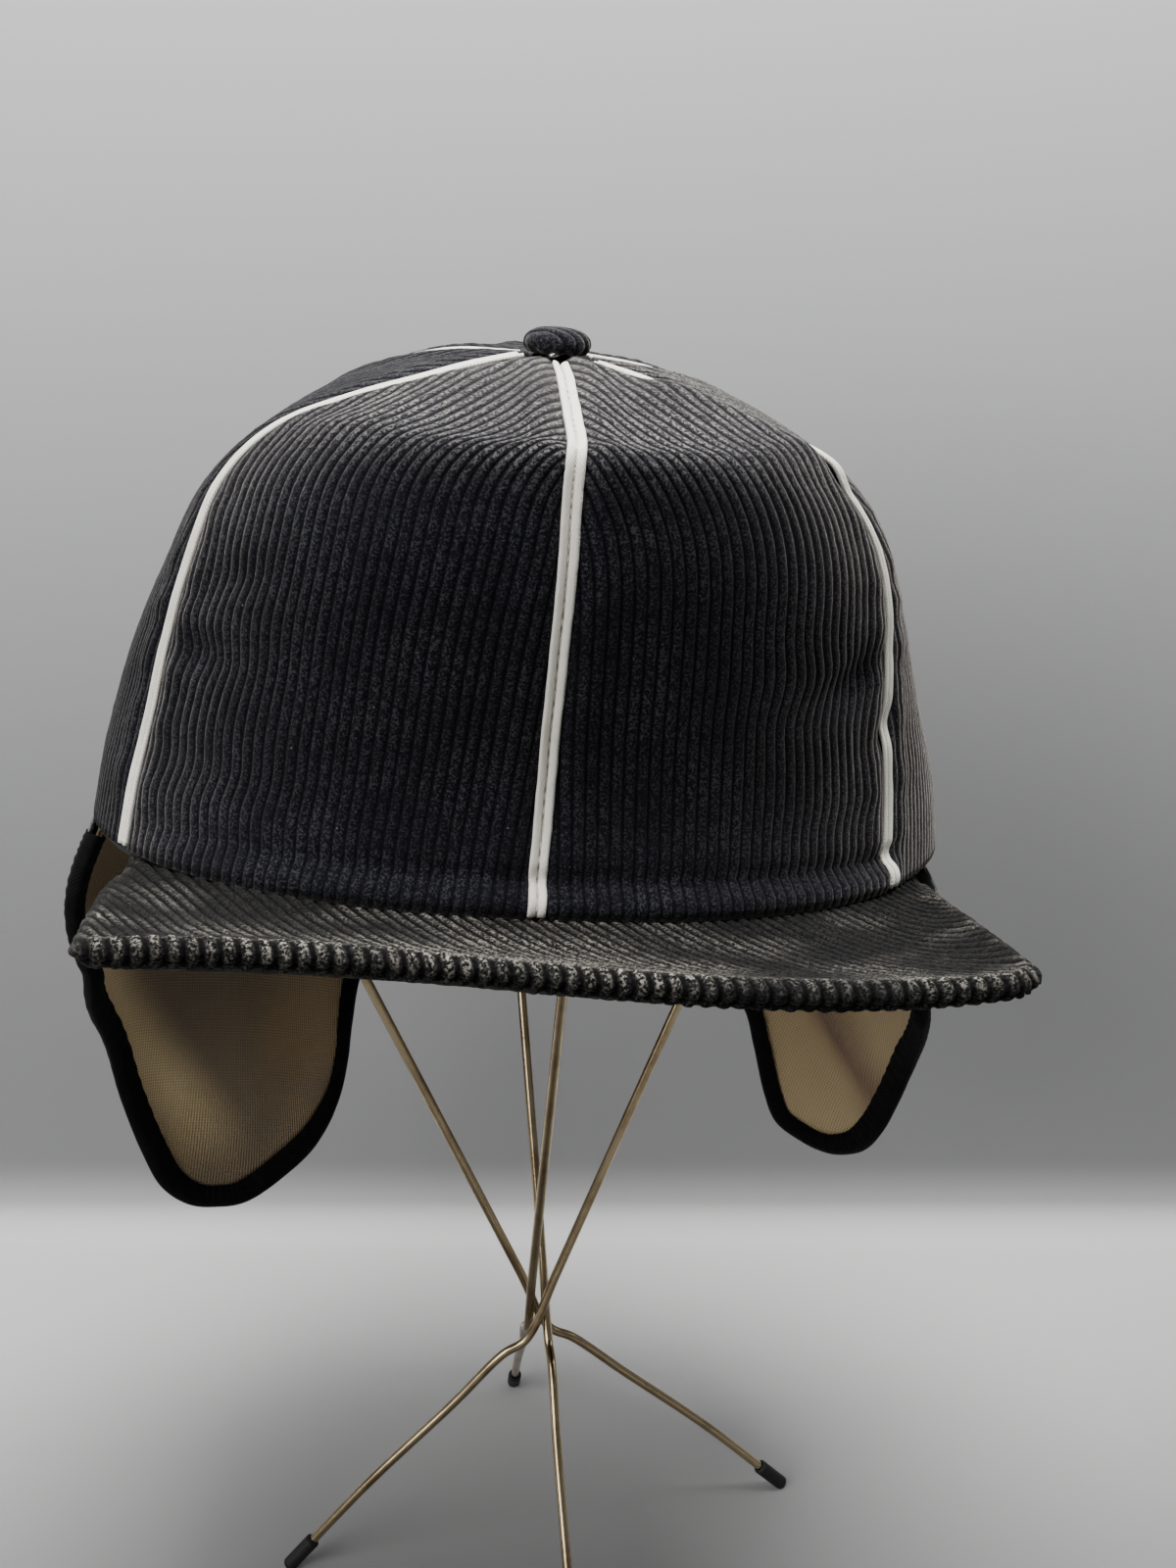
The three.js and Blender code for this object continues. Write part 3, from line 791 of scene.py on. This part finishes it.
def peakPlan(side, out):
    u = (side + 1) / 2
    middle = crown["rings"][0][4]
    left, right = crownPoint(-peak["leftEnd"], 0), crownPoint(peak["rightEnd"], 0)
    angle = -peak["leftEnd"] + (peak["leftEnd"] + peak["rightEnd"]) * u
    a = math.radians(angle)
    root = crownPoint(angle, 0) + Vector((math.sin(a), -math.cos(a), 0)) * (peak["clear"] - peak["tuck"])
    rootLine = left.y + (right.y - left.y) * u - peak["clear"]
    rootHalf = (middle - left.x) * (1 - u) + (right.x - middle) * u + peak["flare"]
    reach = peak["length"] + rootLine - crownPoint(0, 0).y
    across, ahead = peakOutline(side, reach)
    halfWidth = rootHalf + (peak["halfWidth"] - rootHalf) * ahead
    edge = Vector((middle + peak["frontShift"] * ahead + across * halfWidth, rootLine - reach * ahead, 0))
    point = root.lerp(edge, out)
    forward = crownPoint(0, 0).y - point.y
    across = (point.x - middle) / peak["halfWidth"]
    ends = peak["sideRise"] * across**2 + peak["endRise"] * across**3
    point.z = -0.3 + out * (peak["rise"] * forward + ends - peak["twist"] * point.x)
    return point


def makePeak():
    columns = peak["columns"]
    tops, edges, unders = peak["topRows"], peak["edgeRows"], peak["underRows"]
    rows = tops + edges + unders
    radius = peak["thickness"] / 2
    # even spacing round the outer edge
    steps = peak["outlineSteps"]
    sides = [i / steps * 2 - 1 for i in range(steps + 1)]
    outline = [peakPlan(side, 1) for side in sides]
    lengths = [0.0]
    for a, b in zip(outline, outline[1:]):
        lengths.append(lengths[-1] + (b - a).length)
    fans = []
    for i in range(columns + 1):
        wanted = lengths[-1] * i / columns
        j = min(max(bisect_left(lengths, wanted), 1), steps)
        k = (wanted - lengths[j - 1]) / max(lengths[j] - lengths[j - 1], 1e-9)
        side = sides[j - 1] + (sides[j] - sides[j - 1]) * k
        edge = outline[j - 1].lerp(outline[j], k)
        ahead = outline[min(j + 6, steps)] - outline[max(j - 7, 0)]
        outward = Vector((ahead.y, -ahead.x, 0)).normalized()
        fans.append((side, peakPlan(side, 0), edge - outward * radius * 0.85, outward))
    turn = math.radians(peak["cordTurn"])

    def rule(s, t):
        side, root, edge, outward = fans[round(s * columns)]
        row = round(t * rows)
        bend = clamp((row - tops) / edges)
        if row <= tops:
            out = (row / tops) ** 0.85
            base = root.lerp(edge, out)
            base.z = peakPlan(side, out).z
            normal = Vector((0.02, 0.18, 1)).normalized()
        elif row <= tops + edges:
            normal = outward * math.sin(bend * math.pi) + Vector((0, 0, math.cos(bend * math.pi)))
            base = Vector((edge.x, edge.y, edge.z - radius)) + normal * radius
        else:
            share = 1 - (row - tops - edges) / unders
            base = root.lerp(edge, share)
            base.z = peakPlan(side, share).z - peak["thickness"]
            normal = Vector((0, -0.18, -1)).normalized()
        edgeDistance = (edge - base).length if row <= tops else 0
        across = (base.x * math.cos(turn) + base.y * math.sin(turn)) / peak["pitch"]
        along = (base.y * math.cos(turn) - base.x * math.sin(turn)) / peak["pitch"] + bend * 2
        across += 0.10 * rough(base.x, base.y, 5.0, 14)
        height = peak["cordHeight"] * (1 + 0.3 * rough(across, along * 0.3, 1.0, 1.2))
        height *= 1 + 0.35 * math.sin(bend * math.pi)
        relief = height * (cordShape(across) - 0.5)
        relief += 0.2 * rough(base.x, base.y, base.z, 1.1) + 0.5 * rough(base.x, base.y, 8.0, 30)
        relief -= 1.5 * hump(bend, 0.7, 0.07)
        # grey flecks: wear along its front edge and at the start of the roll, and painted light, brightest in its
        # middle and fading towards the ends
        turned = math.degrees(math.atan2(base.x, -base.y))
        wornAndLit = 0.3 * math.exp(-edgeDistance / 10) if row <= tops else 0.2 * (1 - smooth(bend, 0.1, 0.6))
        wornAndLit += 0.42 * hump(turned, -6, 20) + 0.04 - 0.1 * smooth(turned, 20, 44) - 0.2 * smooth(-turned, 22, 46)
        wornAndLit = clamp(wornAndLit + 0.6 * rough(base.x, base.y, 3.0, 17)) * (1 - bend)
        rootFade = smooth((base - root).length, 0.0, 1.5) if row <= tops else 1
        return base + normal * relief * rootFade, (across, along), wornAndLit

    piece = laidCloth("peak_cover", columns, rows, rule, "peakCord", attribute="wornAndLit")
    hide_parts("peak")


makePeak()
print("peak made")

# The folded-down ear band, its lining and its binding. Edges as (angle from the front, drop) in mm.
earBand = {
    "leftEdge": [
        (77.6, 2), (77.2, 9), (77.4, 20), (79, 32), (84, 48), (92.4, 65), (96.4, 82.4), (100.2, 99.7),
        (103, 110.6), (107.1, 117.6), (111.7, 120.1), (117.3, 119.8), (126.2, 113.5), (135.2, 106.4),
        (143.8, 97), (148.6, 87), (151.4, 76.5), (154.3, 66.5), (159, 57), (168, 48),
    ],
    "rightEdge": [
        (75.6, 3), (75, 15), (75.2, 29), (77.3, 42), (82, 51), (87.8, 62), (93.3, 76.8), (97.7, 89.2),
        (101.6, 97.5), (106, 102), (109.5, 103.3), (113.6, 102.6), (119.1, 99), (122.3, 91), (125.8, 77.6),
        (129.5, 66.5), (139, 55), (155, 48),
    ],
    "backDrop": 46,
    "start": 1.2,
    "perDegree": 1.6,
    "cordPitch": 2.8,
    "clothAt": 0.5,
    "liningAt": 2.3,
    "thickness": 0.8,
    "columns": 300,
    "rows": 40,
    "bindingColumns": 620,
    "bindingRows": 22,
    "binding": 6.6,
    "apart": 0.5,
    "endCut": 0.012,
    "corner": 4,
}
lean = {
    "left": {"swing": (-0.06, 0.35), "out": 5, "opens": (50, 66), "fades": (80, 125)},
    "right": {"swing": (-0.2, 0.1), "out": 10, "opens": (66, 92), "fades": (100, 130)},
    "rear": 0.08,
    "bulgeDrop": 40,
}
edgeRows = earBand["leftEdge"] + [(180, earBand["backDrop"])]
edgeRows += [(360 - angle, drop) for angle, drop in reversed(earBand["rightEdge"])]
edgeAt = tableLine(edgeRows)


def edgePoint(t):
    angle, drop = edgeAt(t)
    return Vector((angle * earBand["perDegree"], drop))


def insetEdge(t, distance):
    along = (edgePoint(min(t + 0.004, 1)) - edgePoint(max(t - 0.004, 0))).normalized()
    return edgePoint(t) + Vector((along.y, -along.x)) * distance


def leanAt(angle):
    turned = min(angle, 360 - angle)
    front, back = lean["right" if angle > 180 else "left"]["swing"]
    swing = front + (back - front) * smooth(turned, 75, 140)
    rear = smooth(turned, 150, 178)
    return swing + (lean["rear"] - swing) * rear


def bandPoint(flat):
    angle = flat.x / earBand["perDegree"]
    drop = flat.y
    turned = min(angle, 360 - angle)
    middle = Vector((crown["rings"][0][4], crown["rings"][0][3], 0))
    arm = crownPoint(-angle, 0) - middle
    share = 1 - leanAt(angle) * (max(drop, 0) / 100) ** 1.2
    side = lean["right" if angle > 180 else "left"]
    part = smooth(turned, *side["opens"]) * (1 - smooth(turned, *side["fades"]))
    flare = side["out"] * part * math.sin(math.pi * clamp(drop / lean["bulgeDrop"]))
    point = middle + arm * share + arm.normalized() * flare
    point.z = -earBand["start"] - drop
    return point


def bandNormal(flat):
    across = bandPoint(flat + Vector((0.4, 0))) - bandPoint(flat - Vector((0.4, 0)))
    down = bandPoint(flat + Vector((0, 0.4))) - bandPoint(flat - Vector((0, 0.4)))
    return across.cross(down).normalized()


# Soft folds of the flaps, inside mm in from the binding: how far the cloth is pushed out, and how much painted
# shade darkens the lining along its deep fold
def bandFolds(flat, inside):
    angle, drop = flat.x / earBand["perDegree"], flat.y
    left = hump(angle, 115, 26)
    right = hump(angle, 250, 22)
    push = 1.1 * rough(flat.x, drop * 0.5, 4.0, 24) * smooth(drop, 3, 20)
    push += 2.0 * left * math.sin((flat.x - 150) / 11 + drop / 70) * smooth(drop, 12, 60)
    slant = (360 - angle - 105) * 1.2 + (drop - 64) * 0.8
    push -= 4.2 * right * math.exp(-((slant / 7.5) ** 2)) * smooth(drop, 12, 40)
    push += 2.2 * right * hump(slant, 15, 8) * smooth(drop, 12, 40)
    push *= smooth(inside, 0, 16)
    # painted shade along the deep fold of the right flap's lining
    foldShade = clamp(right * math.exp(-(((slant - 3) / 9.0) ** 2)) * smooth(drop, 20, 45))
    return push, foldShade


def bandSheet(s, t, inset):
    along = earBand["endCut"] + (1 - 2 * earBand["endCut"]) * s
    low = insetEdge(along, inset)
    first = insetEdge(earBand["endCut"], inset).x
    last = insetEdge(1 - earBand["endCut"], inset).x
    corner = earBand["corner"]
    high = Vector(((low.x + first + corner + (last - first - 2 * corner) * s) / 2, 0))
    return low.lerp(high, t), (high - low).length * t


def bandLayer(name, node, height, material, attribute=None):
    inset = earBand["binding"] - earBand["apart"] * 2

    def rule(s, t):
        flat, inside = bandSheet(s, t, inset)
        push, foldShade = bandFolds(flat, inside)
        point = bandPoint(flat) + bandNormal(flat) * (push - height)
        return point, (flat.x / earBand["cordPitch"], flat.y / earBand["cordPitch"]), foldShade

    piece = laidCloth(name, earBand["columns"], earBand["rows"], rule, material, attribute=attribute)
    thick = piece.modifiers.new("thickness", "SOLIDIFY")
    thick.thickness = earBand["thickness"] * mm
    thick.offset = 0
    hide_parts(node)
    return piece


def earBinding():
    wide = earBand["binding"]
    out, inner = 0.9, earBand["liningAt"] + 1.5

    def rule(s, t):
        # t goes from the outside, round the edge, to the lining side
        turn = (t - 0.5) * 2
        inset = wide * abs(turn) ** 1.35
        flat = insetEdge(s, inset)
        middle = (inner - out) / 2
        half = (inner + out) / 2 * (1 - 0.25 * smooth(abs(turn), 0.8, 1))
        depth = middle + half * math.sin(math.pi / 2 * clamp(turn * 1.9, -1, 1))
        depth += 0.16 * math.sin(s * 900 + 3 * rough(s * 90, t, 1, 1)) * abs(turn)
        point = bandPoint(flat) - bandNormal(flat) * depth
        return point, (s * 170, t * 6), 0

    piece = laidCloth("ear_band_edge", earBand["bindingColumns"], earBand["bindingRows"], rule, "binding")
    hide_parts("ear_band_binding")
    return piece


outside = bandLayer("ear_band_cloth", "ear_band", earBand["clothAt"], "bandCord")
lining = bandLayer("ear_band_satin", "ear_band_lining", earBand["liningAt"], "satin", "foldShade")
edging = earBinding()
print("ear band made")

# The stand of two crossed wires, in mm
stand = {
    "feet": {"right": (73.3, 10), "back": (71.7, -1.7), "left": (70, 0), "front": (70, 0)},
    "waist": 73.5,
    "armTilt": 23.3,
    "armTop": 56,
    "bendDrop": 7.8,
    "bendRadius": 4.9,
    "turn": 3,
    "wireRadius": 1.2,
    "steps": 14,
    "strandOffset": 2.3,
    "top": 317,
    "topStep": 3.2,
    "footAxis": -0.17,
    "plug": 3.5,
    "legs": [(0.66, 0.345), (0.33, 0.65)],
    "bends": [(2, 1.5), (0.7, 1)],
    "arms": [0.08, 0.3, 0.55, 0.8, 0.95],
    "dome": [(1.045, 0.14), (1.06, 0.34), (1.03, 0.56), (0.9, 0.78), (0.6, 0.95)],
}


# One side of a wire, from its foot to just short of its crest
def halfWire(foot, top):
    reach, swing = stand["feet"][foot]
    armEnd = stand["waist"] + stand["armTop"] / math.tan(math.radians(stand["armTilt"]))
    out = reach - stand["plug"]
    half = [Vector((out, swing * out / reach, stand["footAxis"] + stand["plug"]))]
    for out, height in stand["legs"]:
        half.append(Vector((reach * out, swing * out + stand["strandOffset"] * (1 - out), stand["waist"] * height)))
    for out, below in stand["bends"]:
        height = stand["waist"] - stand["bendDrop"] * below
        half.append(Vector((stand["bendRadius"] * out, stand["strandOffset"], height)))
    for share in stand["arms"]:
        height = stand["waist"] + (armEnd - stand["waist"]) * share
        half.append(Vector((-stand["armTop"] * share, stand["strandOffset"] * (1 - share), height)))
    for reach, climb in stand["dome"]:
        half.append(Vector((-stand["armTop"] * reach, 0, armEnd + (top - armEnd) * climb)))
    return half


def wirePoints(near, far, top):
    other = [Vector((-p.x, -p.y, p.z)) for p in reversed(halfWire(far, top))]
    return halfWire(near, top) + [Vector((0, 0, top))] + other


# A centripetal line through the points, as in the CAD
def smoothLine(points, steps):
    ends = [points[0] * 2 - points[1]] + points + [points[-1] * 2 - points[-2]]
    line = []
    for a, b, c, d in zip(ends, ends[1:], ends[2:], ends[3:]):
        t1 = math.sqrt((b - a).length)
        t2 = t1 + math.sqrt((c - b).length)
        t3 = t2 + math.sqrt((d - c).length)
        for i in range(steps):
            t = t1 + (t2 - t1) * i / steps
            ab = a.lerp(b, t / t1)
            bc = b.lerp(c, (t - t1) / (t2 - t1))
            cd = c.lerp(d, (t - t2) / (t3 - t2))
            line.append(ab.lerp(bc, t / t2).lerp(bc.lerp(cd, (t - t1) / (t3 - t1)), (t - t1) / (t2 - t1)))
    return line + [points[-1]]


def standWire(name, near, far, top, turn):
    curve = bpy.data.curves.new(name, "CURVE")
    curve.dimensions = "3D"
    curve.bevel_depth = stand["wireRadius"] * mm
    curve.bevel_resolution = 5
    curve.use_fill_caps = True
    line = smoothLine(wirePoints(near, far, top), stand["steps"])
    spline = curve.splines.new("POLY")
    spline.points.add(len(line) - 1)
    spin = Matrix.Rotation(math.radians(turn), 3, "Z")
    for knot, point in zip(spline.points, line):
        knot.co = (*((spin @ point + origin) * mm), 1)
    bare = bpy.data.objects.new(name, curve)
    mesh = bmesh.new()
    mesh.from_mesh(bpy.data.meshes.new_from_object(bare))
    bpy.data.objects.remove(bare)
    for face in mesh.faces:
        face.smooth = True
    piece = finished(name + "_bar", mesh, "brass")
    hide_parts(name)
    rubberTip(near, line, turn)
    rubberTip(far, line[::-1], turn)


# A moulded rubber tip, worn flat on the floor: profile from its end up, as (height, radius) in mm
tip = {
    "profile": [
        (-0.3, 0), (-0.25, 0.9), (0, 1.5), (0.6, 1.85), (1.4, 1.95), (9.4, 1.98), (10.1, 1.9), (10.5, 1.6),
        (10.4, 1.3), (8, 1.25),
    ],
    "rows": 30,
    "segments": 36,
    "past": 0.3,
}


def rubberTip(name, line, turn):
    along = (line[1] - line[0]).normalized()
    start = line[0] - along * (stand["plug"] + tip["past"])
    mesh = bmesh.new()
    profile = tableLine(tip["profile"])
    rows = [profile(i / tip["rows"]) for i in range(tip["rows"] + 1)]
    verts = [mesh.verts.new((max(r, 0), 0, h)) for h, r in rows]
    edges = [mesh.edges.new(pair) for pair in zip(verts, verts[1:])]
    turnProfile(mesh, verts, edges, tip["segments"], 1e-4)
    lay = along.to_track_quat("Z", "Y").to_matrix()
    spin = Matrix.Rotation(math.radians(turn), 3, "Z")
    for vert in mesh.verts:
        point = spin @ (start + lay @ vert.co) + origin
        point.z = max(point.z, 0)
        vert.co = point * mm
    for face in mesh.faces:
        face.smooth = True
    piece = finished("tip_" + name, mesh, "rubber")
    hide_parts("rubber_tip_" + name)


standWire("stand_wire_side", "right", "left", stand["top"], stand["turn"])
standWire("stand_wire_fore", "back", "front", stand["top"] - stand["topStep"], stand["turn"] + 90)
print("stand made")

# A pale paper sweep: floor, a bend and a wall behind, in metres
sweep = {"half": 1.6, "front": -1.3, "wall": 0.18, "bend": 0.012, "top": 1.7}


def paperSweep():
    start = sweep["wall"] - sweep["bend"]
    line = [(sweep["front"], 0.0), (start - 0.1, 0.0)]
    for i in range(13):
        a = i / 12 * math.pi / 2
        line.append((start + sweep["bend"] * math.sin(a), sweep["bend"] * (1 - math.cos(a))))
    line.append((sweep["wall"] + 0.02, sweep["top"]))
    mesh = bmesh.new()
    verts = [mesh.verts.new((-sweep["half"], y, z)) for y, z in line]
    edges = [mesh.edges.new(pair) for pair in zip(verts, verts[1:])]
    drawn = bmesh.ops.extrude_edge_only(mesh, edges=edges)["geom"]
    moved = [item for item in drawn if isinstance(item, bmesh.types.BMVert)]
    bmesh.ops.translate(mesh, verts=moved, vec=(2 * sweep["half"], 0, 0))
    bmesh.ops.rotate(mesh, verts=mesh.verts, cent=(0, 0, 0), matrix=Matrix.Rotation(-view["turn"], 3, "Z"))
    for face in mesh.faces:
        face.smooth = True
    data = bpy.data.meshes.new("sweep")
    mesh.to_mesh(data)
    mesh.free()
    data.materials.append(finishes["paper"])
    paper = bpy.data.objects.new("sweep", data)
    bpy.context.collection.objects.link(paper)


# Soft lamps: place, what they face, size in metres and power in watts
lamps = [
    {"name": "overhead", "place": (0.08, 0.03, 1.15), "aim": (0, 0.03, 0), "size": 0.65, "power": 34},
    {"name": "leftFill", "place": (-0.9, -0.7, 0.75), "aim": (0, 0, 0.2), "size": 0.9, "power": 12.5},
    {"name": "rightRim", "place": (0.75, 0.12, 0.7), "aim": (0, 0, 0.25), "size": 0.5, "power": 1.5},
]


def addLamps():
    for lamp in lamps:
        data = bpy.data.lights.new(lamp["name"], "AREA")
        data.shape = "SQUARE"
        data.size = lamp["size"]
        data.energy = lamp["power"]
        light = bpy.data.objects.new(lamp["name"], data)
        light.location = lamp["place"]
        towards = Vector(lamp["aim"]) - Vector(lamp["place"])
        light.rotation_euler = towards.to_track_quat("-Z", "Y").to_euler()
        bpy.context.collection.objects.link(light)
    world = bpy.data.worlds.new("room")
    world.use_nodes = True
    world.node_tree.nodes["Background"].inputs["Color"].default_value = (0.92, 0.96, 1, 1)
    world.node_tree.nodes["Background"].inputs["Strength"].default_value = 0.22
    bpy.context.scene.world = world


paperSweep()
addLamps()
print("floor and lamps made")
